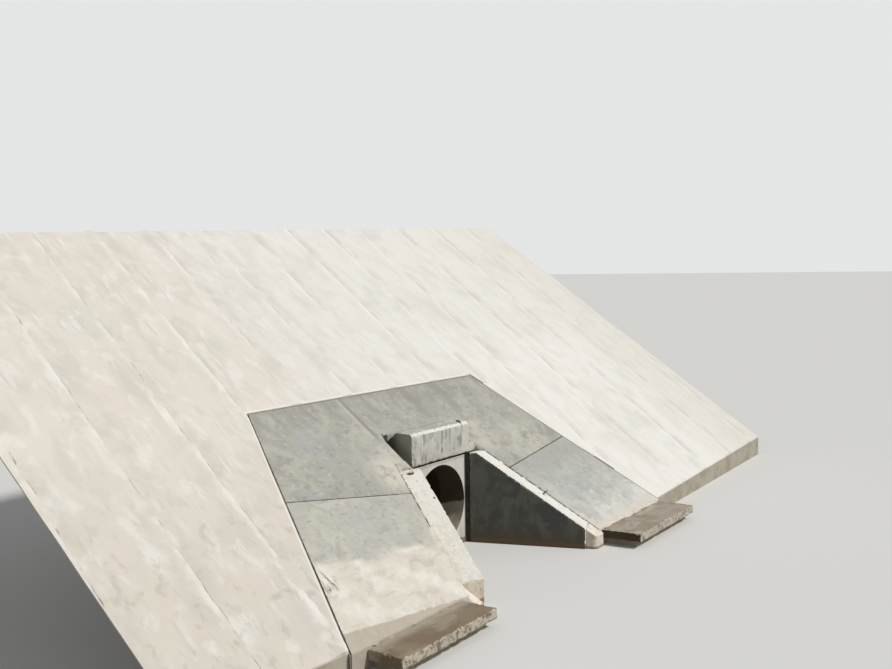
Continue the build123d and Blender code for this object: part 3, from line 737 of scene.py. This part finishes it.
def lining_finish():
    """Pale cement mats, dusty pink to the left and whiter to the right, streaked down the slope."""
    finish = Finish("pale_cement_mat", (234, 231, 224), slope=True)
    x, up = finish.axis("X"), finish.axis("Y")
    finish.coat((228, 220, 209), 0.95, finish.band(x, 0.8, -2.8))
    bleached = finish.times(finish.band(x, 0.6, 3.0), finish.band(x, 7.0, 5.2), finish.band(up, 2.8, 1.2))
    finish.coat((242, 239, 233), 0.65, bleached)
    finish.coat((227, 223, 213), 0.6, finish.band(x, 5.4, 7.2))
    low_left = finish.times(finish.band(x, -0.6, -3.0), finish.band(up, 1.4, -1.0))
    finish.coat((219, 211, 199), 0.85, low_left)
    finish.coat((226, 216, 208), 0.45, finish.clouds(0.52, 0.66, 1.2, 4, 0.6, shift=(2, 0, 5), warp=0.4))
    finish.coat((218, 217, 206), 0.5, finish.clouds(0.53, 0.68, 0.9, 4, 0.6, shift=(9, 4, 1), warp=0.4))
    strength_here = finish.sum("ADD", 0.4, finish.times(finish.band(x, 1.5, -2.0), 0.55))
    washed = finish.noise(0.3, 4, 0.55, stretch=(1, 1.8, 1), warp=0.5)
    finish.coat((210, 204, 194), 0.5, finish.band(washed, 0.45, 0.66), strength_here)
    dusted = finish.clouds(0.5, 0.7, 0.2, 4, 0.55, stretch=(1, 1.8, 1), shift=(4, 8, 0), warp=0.5)
    finish.coat((244, 242, 237), 0.5, dusted, strength_here)
    mottled = finish.clouds(0.52, 0.68, 0.13, 5, 0.6, stretch=(1, 1.8, 1), shift=(3, 3, 0), warp=0.6)
    finish.coat((190, 186, 173), 0.6, low_left, mottled)
    dress_laps(finish, strength_here)
    for size, shift in ((0.13, 1), (0.09, 6)):
        some = finish.clouds(0.5, 0.66, 0.5, 4, stretch=(1, 1.6, 1), shift=(6, shift, 6))
        for aside, tint, strength in ((0.3, (204, 198, 188), 0.4), (0, (246, 244, 239), 0.5)):
            long = finish.noise(size, 3, 0.5, stretch=(1, 5, 1), shift=(shift + aside, 3, 0), warp=0.6)
            ridge = finish.times(finish.band(long, 0.54, 0.7), some, strength_here)
            finish.coat(tint, strength, ridge)
        finish.relief(ridge, 0.003)
    gap = finish.panel_gap()
    # Painted highlight: a thin bright line on the lining along its edge beside the panel.
    finish.coat((242, 239, 231), 0.8, finish.band(gap, -0.01, 0.0), finish.band(gap, 0.026, 0.014))
    finish.relief(washed, 0.006)
    finish.relief(finish.noise(0.05, 4), 0.0012)
    finish.relief(finish.noise(0.008, 3), 0.0004)
    return finish.done()


def dress_laps(finish, strength_here):
    """Painted shade mixed with dust to the right of each lap's edge, a painted highlight on the lip to its
    left and a thin broken line of painted shadow on it.
    """
    lap = finish.lap_gap()
    patchy = finish.noise(0.3, 4, 0.6, stretch=(1, 1.6, 1), shift=(2, 6, 1))
    # Painted shade, partly dust, in a soft band to the right of the lap's edge.
    finish.coat((206, 200, 189), 0.55, finish.band(lap, -0.005, 0.02), finish.band(lap, 0.3, 0.03),
                finish.band(patchy, 0.42, 0.6))
    # Painted highlight on the lip to the left of the lap's edge.
    finish.coat((248, 246, 242), 0.45, finish.band(lap, 0.004, -0.006), finish.band(lap, -0.09, -0.02),
                finish.band(patchy, 0.44, 0.6))
    # Painted shadow: a thin broken dark line along the lap's edge.
    broken = finish.clouds(0.5, 0.6, 0.16, 4, 0.6, stretch=(1, 2, 1), shift=(1, 1, 9))
    finish.coat((128, 118, 102), 0.75, finish.line(lap, 0.008, 0.004, 0.008), broken, strength_here)


# Shapes

SHARP_EDGE = math.radians(35)


def group(name, build, inputs):
    """Node tree with named inputs, whose build gets the tree and the input sockets and gives the push."""
    tree = bpy.data.node_groups.new(name, "GeometryNodeTree")
    tree.interface.new_socket("Geometry", in_out="OUTPUT", socket_type="NodeSocketGeometry")
    tree.interface.new_socket("Geometry", in_out="INPUT", socket_type="NodeSocketGeometry")
    for label, value in inputs.items():
        tree.interface.new_socket(label, in_out="INPUT", socket_type="NodeSocketFloat").default_value = value
    tree.interface.new_socket("Material", in_out="INPUT", socket_type="NodeSocketMaterial")
    start = tree.nodes.new("NodeGroupInput")
    end = tree.nodes.new("NodeGroupOutput")
    push = build(tree, start.outputs)
    moved = tree.nodes.new("GeometryNodeSetPosition")
    solid = tree.nodes.new("GeometryNodeRealizeInstances")
    dressed = tree.nodes.new("GeometryNodeSetMaterial")
    tree.links.new(start.outputs["Geometry"], moved.inputs["Geometry"])
    tree.links.new(push, moved.inputs["Offset"])
    tree.links.new(moved.outputs[0], solid.inputs["Geometry"])
    tree.links.new(solid.outputs[0], dressed.inputs["Geometry"])
    tree.links.new(start.outputs["Material"], dressed.inputs["Material"])
    tree.links.new(dressed.outputs[0], end.inputs[0])
    return tree


def apply_group(piece, tree, material, values):
    """Runs the tree on a piece and keeps the result as a plain mesh."""
    modifier = piece.modifiers.new(tree.name, "NODES")
    modifier.node_group = tree
    values = {**values, "Material": material}
    for item in tree.interface.items_tree:
        if item.item_type == "SOCKET" and item.in_out == "INPUT" and item.name in values:
            modifier[item.identifier] = values[item.name]
    bake(piece)


def bake(piece):
    """Turns the piece's modifiers into its own mesh."""
    bpy.context.view_layer.update()
    seen = piece.evaluated_get(bpy.context.evaluated_depsgraph_get())
    mesh = bpy.data.meshes.new_from_object(seen)
    old = piece.data
    piece.modifiers.clear()
    piece.data = mesh
    bpy.data.meshes.remove(old)
    mesh.name = piece.name


def cut_into_rows(shape, way, step):
    """Cuts a mesh by even planes square to a way."""
    places = [vert.co.dot(way) for vert in shape.verts]
    for number in range(int(min(places) / step) - 1, int(max(places) / step) + 1):
        everything = shape.verts[:] + shape.edges[:] + shape.faces[:]
        bmesh.ops.bisect_plane(shape, geom=everything, dist=0.0001, plane_co=way * (number * step),
                               plane_no=way)


def copy_of(node, name, across=0.0, up=0.0):
    """A closed copy of a CAD node's mesh as a new piece, cut into a grid along and up the slope."""
    shape = bmesh.new()
    shape.from_mesh(nodes[node].data)
    bmesh.ops.remove_doubles(shape, verts=shape.verts, dist=0.00005)
    bmesh.ops.dissolve_limit(shape, angle_limit=math.radians(0.5), verts=shape.verts, edges=shape.edges)
    for way, step in ((Vector(RIGHTWARD), across), (UP_SLOPE, up)):
        if step:
            cut_into_rows(shape, way, step)
    mesh = bpy.data.meshes.new(name)
    shape.to_mesh(mesh)
    shape.free()
    return add_object(name, mesh)


def positions(tree):
    return tree.nodes.new("GeometryNodeInputPosition").outputs[0]


def wear_shape(tree, given):
    """Even unevenness all over, and chips along the outer edges, with the foot left on the floor."""
    place = positions(tree)
    normal = tree.nodes.new("GeometryNodeInputNormal").outputs[0]
    block = Pattern(tree, place)
    blur = block.node("GeometryNodeBlurAttribute", data_type="FLOAT_VECTOR")
    blur.inputs["Iterations"].default_value = 5
    block.join(place, blur.inputs["Value"])
    edge = block.vector("DOT_PRODUCT", block.vector("SUBTRACT", place, blur.outputs[0]), normal, "Value")
    near_edge = block.band(edge, 0.0006, 0.0022, smooth=False)   # only edges stand out from their blur
    broken = block.clouds(0.5, 0.66, given["Chip Size"], 3, shift=(5, 2, 8))
    chips = block.times(near_edge, broken, given["Chip Depth"])
    low = block.sum("SUBTRACT", block.noise(given["Dent Size"], 4), 0.66)
    off_floor = block.band(block.axis("Z"), 0.004, 0.03)
    dents = block.times(low, given["Dent Depth"])
    return block.scaled(normal, block.times(block.sum("SUBTRACT", dents, chips), off_floor))


def wrinkle_shape(tree, given):
    """Long soft wrinkles down the slope, and wandering laps, but straight outer edges and a flat foot."""
    mat = Pattern(tree, positions(tree), slope=True)
    wave = mat.clouds(0.3, 0.7, given["Wrinkle Width"], 3, stretch=(1, 4, 1), warp=0.6)
    crimp = mat.clouds(0.35, 0.65, given["Crimp Width"], 3, stretch=(1, 2.5, 1), shift=(4, 4, 0))
    depth = mat.sum("ADD", mat.times(wave, given["Wrinkle Depth"]), mat.times(crimp, given["Crimp Depth"]))
    calm = mat.times(mat.band(mat.panel_gap(), 0.01, 0.12), mat.band(mat.along((0, 1)), -1.25, -0.9))
    from_left = mat.band(mat.along((1, 0)), LINING_LEFT + 0.01, LINING_LEFT + 0.23)
    from_right = mat.band(mat.along((1, LINING_RIGHT_LEAN), LINING_RIGHT), 0.0, -0.25)
    inland = mat.times(from_left, from_right)
    offset = mat.node("ShaderNodeCombineXYZ")
    mat.join(mat.times(mat.lap_waver(), calm, inland), offset.inputs[0])
    mat.join(mat.times(depth, calm, -1.0), offset.inputs[2])
    return offset.outputs[0]


def trowel_shape(part):
    """Builder of a slab's shape: waves of its trowelled top, and the rise of its hand-spread foot."""
    def build(tree, given):
        slab = Pattern(tree, positions(tree), slope=True)
        depth = slab.times(slab.noise(given["Wave Size"], 4), given["Wave Depth"])
        if part != "upper":
            lumps = slab.clouds(0.3, 0.7, given["Lump Size"], 4, 0.6, warp=0.4)
            rise = slab.times(slab.pale_foot(part), slab.sum("ADD", lumps, 0.35), given["Foot Rise"])
            depth = slab.sum("SUBTRACT", depth, rise)
        top_only = slab.band(slab.axis("Z"), -0.02, -0.002)
        offset = slab.node("ShaderNodeCombineXYZ")
        slab.join(slab.times(depth, top_only, -1.0), offset.inputs[2])
        return offset.outputs[0]
    return build


def keep(piece, node=None):
    """Smooth faces with the real edges kept sharp, then the piece joins the object."""
    piece.data.shade_smooth()
    piece.data.set_sharp_from_angle(angle=SHARP_EDGE)
    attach(piece, "root")
    if node:
        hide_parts(node)


def worn(node, material, voxel, dents, chips):
    """Piece that stands for a CAD node: the same form in fine faces, worn by dents and chips.

    Both are given by the size of their patches and their depth.
    """
    piece = copy_of(node, f"worn_{node}")
    fine = piece.modifiers.new("fine faces", "REMESH")
    fine.mode = "VOXEL"
    fine.voxel_size = voxel
    bake(piece)
    values = dict(zip(("Dent Size", "Dent Depth", "Chip Size", "Chip Depth"), (*dents, *chips)))
    apply_group(piece, WEAR, material, values)
    keep(piece, node)


def ground(x, y):
    """Height of the slabs and, in front of their foot, of the toe slabs."""
    if y > PANEL_FOOT:
        return FACE_LEVEL + y * FALL
    step = FACE_LEVEL + PANEL_FOOT * FALL - TOE_TOP
    return TOE_TOP + step * max(0.0, 1.0 + (y - PANEL_FOOT) / TOE_STEP_RUN)


def mortar_points(start, end, reach, height, seed, lean):
    """Rows of points over and under a mortar strip, and the number of rows."""
    start, end = Vector(start), Vector(end)
    length = (end - start).length
    ahead = (end - start) / length
    side = Vector((-ahead.y, ahead.x))
    rows = int(length / MORTAR_ROW)
    top, under = [], []
    for row in range(rows + 1):
        s = row * length / rows
        taper = min(1.0, s / MORTAR_TAPER, (length - s) / MORTAR_TAPER) ** 0.5
        ragged = [(noise.noise((s * 6, seed, k)), noise.noise((s * 25, seed, k))) for k in (0, 5)]
        spread = [reach * (0.7 + 0.55 * wide + 0.12 * fine) for wide, fine in ragged]
        for column in range(MORTAR_COLUMNS):
            a = 2 * column / (MORTAR_COLUMNS - 1) - 1
            off = a * max(0.006, spread[a > 0]) * taper + lean * reach
            spot = start + ahead * s + side * off
            lumps = 0.8 * noise.noise((spot.x * 14, spot.y * 14, seed))
            grit = 0.3 * noise.noise((spot.x * 45, spot.y * 45, seed))
            thick = height * (1 - abs(a) ** 2.5) * taper * max(0.12, 0.55 + lumps + grit)
            thick -= 0.002 * (abs(a) > 0.99 or taper == 0)
            top.append((spot.x, spot.y, ground(*spot) + thick))
            under.append((spot.x, spot.y, ground(*spot) - MORTAR_SINK))
    return top, under, rows


def mortar_faces(rows, count):
    """Faces over, under and round a strip whose lower points follow count upper ones."""
    columns = MORTAR_COLUMNS
    faces = []
    rim = []
    for row in range(rows):
        for column in range(columns - 1):
            a = row * columns + column
            quad = (a, a + columns, a + columns + 1, a + 1)
            faces += [quad, tuple(count + v for v in reversed(quad))]
        rim += [(row * columns, (row + 1) * columns), ((row + 2) * columns - 1, (row + 1) * columns - 1)]
    for column in range(columns - 1):
        rim += [(column + 1, column), (rows * columns + column, rows * columns + column + 1)]
    return faces + [(a, a + count, b + count, b) for a, b in rim]


def mortar_strip(name, start, end, reach, height, seed, lean, material):
    """Mortar laid by hand in a ragged strip between two plan points, sunk a little in what carries it."""
    top, under, rows = mortar_points(start, end, reach, height, seed, lean)
    mesh = bpy.data.meshes.new(name)
    mesh.from_pydata(top + under, [], mortar_faces(rows, len(top)))
    shape = bmesh.new()
    shape.from_mesh(mesh)
    bmesh.ops.remove_doubles(shape, verts=shape.verts, dist=0.00001)
    bmesh.ops.recalc_face_normals(shape, faces=shape.faces)
    shape.to_mesh(mesh)
    shape.free()
    mesh.materials.append(material)
    keep(add_object(name, mesh))


def finish_nodes(material, *names):
    for name in names:
        slots = nodes[name].data.materials
        slots.clear()
        slots.append(material)


WEAR = group("worn_concrete", wear_shape, {
    "Dent Size": 0.2, "Dent Depth": 0.004, "Chip Size": 0.05, "Chip Depth": 0.006})
WRINKLE = group("wrinkled_mat", wrinkle_shape, {
    "Wrinkle Width": 0.28, "Wrinkle Depth": 0.007, "Crimp Width": 0.13, "Crimp Depth": 0.002})

place_camera()
place_sun()
set_world()
lay_floor()
bpy.context.scene.view_settings.view_transform = "Standard"

# Slabs: each with the grid it is cut into and the rise of its foot
for part, node, grid, foot_rise in (("upper", "upper_slope_slab", 0.03, 0.0),
                                    ("left", "left_lower_slab", 0.022, 0.011),
                                    ("right", "right_lower_slab", 0.022, 0.004)):
    trowelled = group(f"trowelled_{part}_slab", trowel_shape(part), {
        "Wave Size": 0.35, "Wave Depth": 0.003, "Lump Size": 0.12, "Foot Rise": foot_rise})
    piece = copy_of(node, f"trowelled_{node}", across=grid, up=grid)
    apply_group(piece, trowelled, slab_finish(part), {"Foot Rise": foot_rise})
    keep(piece, node)

mat_finish = lining_finish()
for number in range(1, MAT_COUNT + 1):
    node = f"lining_mat_{number:02d}"
    piece = copy_of(node, f"wrinkled_mat_{number:02d}", across=0.04, up=0.06)
    apply_group(piece, WRINKLE, mat_finish, {})
    keep(piece, node)

finish_nodes(portal_finish(), "portal_wall")
finish_nodes(pipe_finish(), "pipe_ring_1", "pipe_ring_2", "pipe_ring_3")
# Dark mortar in the recessed bedding and wing joints; its darkness is partly painted shade of these gaps.
finish_nodes(mortar_finish("struck_mortar_painted_shade", (74, 72, 64), (50, 48, 42)),
             "beam_bedding", "left_wing_joint", "right_wing_joint")
finish_nodes(fill_finish(), "left_wing_fill")
finish_nodes(filler_finish(), "top_edge_joint",
             *[f"{hand}_{kind}_joint" for hand in WINGS for kind in ("cross", "edge")])
finish_nodes(kerb_finish(), *[f"{hand}_toe_{kind}" for hand in WINGS for kind in ("kerb", "bed")])
finish_nodes(bar_finish(), "straight_lifting_bar", "bent_lifting_bar")

worn("parapet_beam", beam_finish(), voxel=0.008, dents=(0.12, 0.006), chips=(0.045, 0.011))
haunch = haunch_finish()
for hand, haunch_dent in (("left", 0.03), ("right", 0.012)):
    worn(f"{hand}_wing_wall", wing_finish(hand),
         voxel=0.012, dents=(0.2, 0.006), chips=(0.06, 0.008))
    worn(f"{hand}_toe_slab", toe_finish(hand),
         voxel=0.01, dents=(0.1, 0.012), chips=(0.07, 0.016))
    worn(f"{hand}_wing_haunch", haunch,
         voxel=0.006, dents=(0.09, haunch_dent), chips=(0.06, 0.005))

# Mortar spread by hand: each strip's slot, ends, reach to either side, height, seed and lean to one side
spread = mortar_finish("spread_mortar", (226, 216, 203), (206, 196, 180))
for name, slot_name, start, end, reach, height, seed, lean in (
        ("left_foot_mortar", "haunch_concrete",
         (-3.03, PANEL_FOOT), (-1.60, PANEL_FOOT), 0.075, 0.013, 1.3, 0.75),
        ("right_foot_mortar", "haunch_concrete",
         (1.41, PANEL_FOOT), (3.10, PANEL_FOOT), 0.05, 0.010, 4.7, 0.4),
        ("left_wing_edge_mortar", "haunch_concrete",
         (-1.19, -0.76), (-1.445, -1.34), 0.075, 0.012, 7.1, 0.0),
        ("left_fill_lip", "joint_mortar",
         (-0.70, -0.122), (-0.925, -0.122), 0.017, 0.007, 2.9, 0.0)):
    mortar_strip(name, start, end, reach, height, seed, lean, spread)
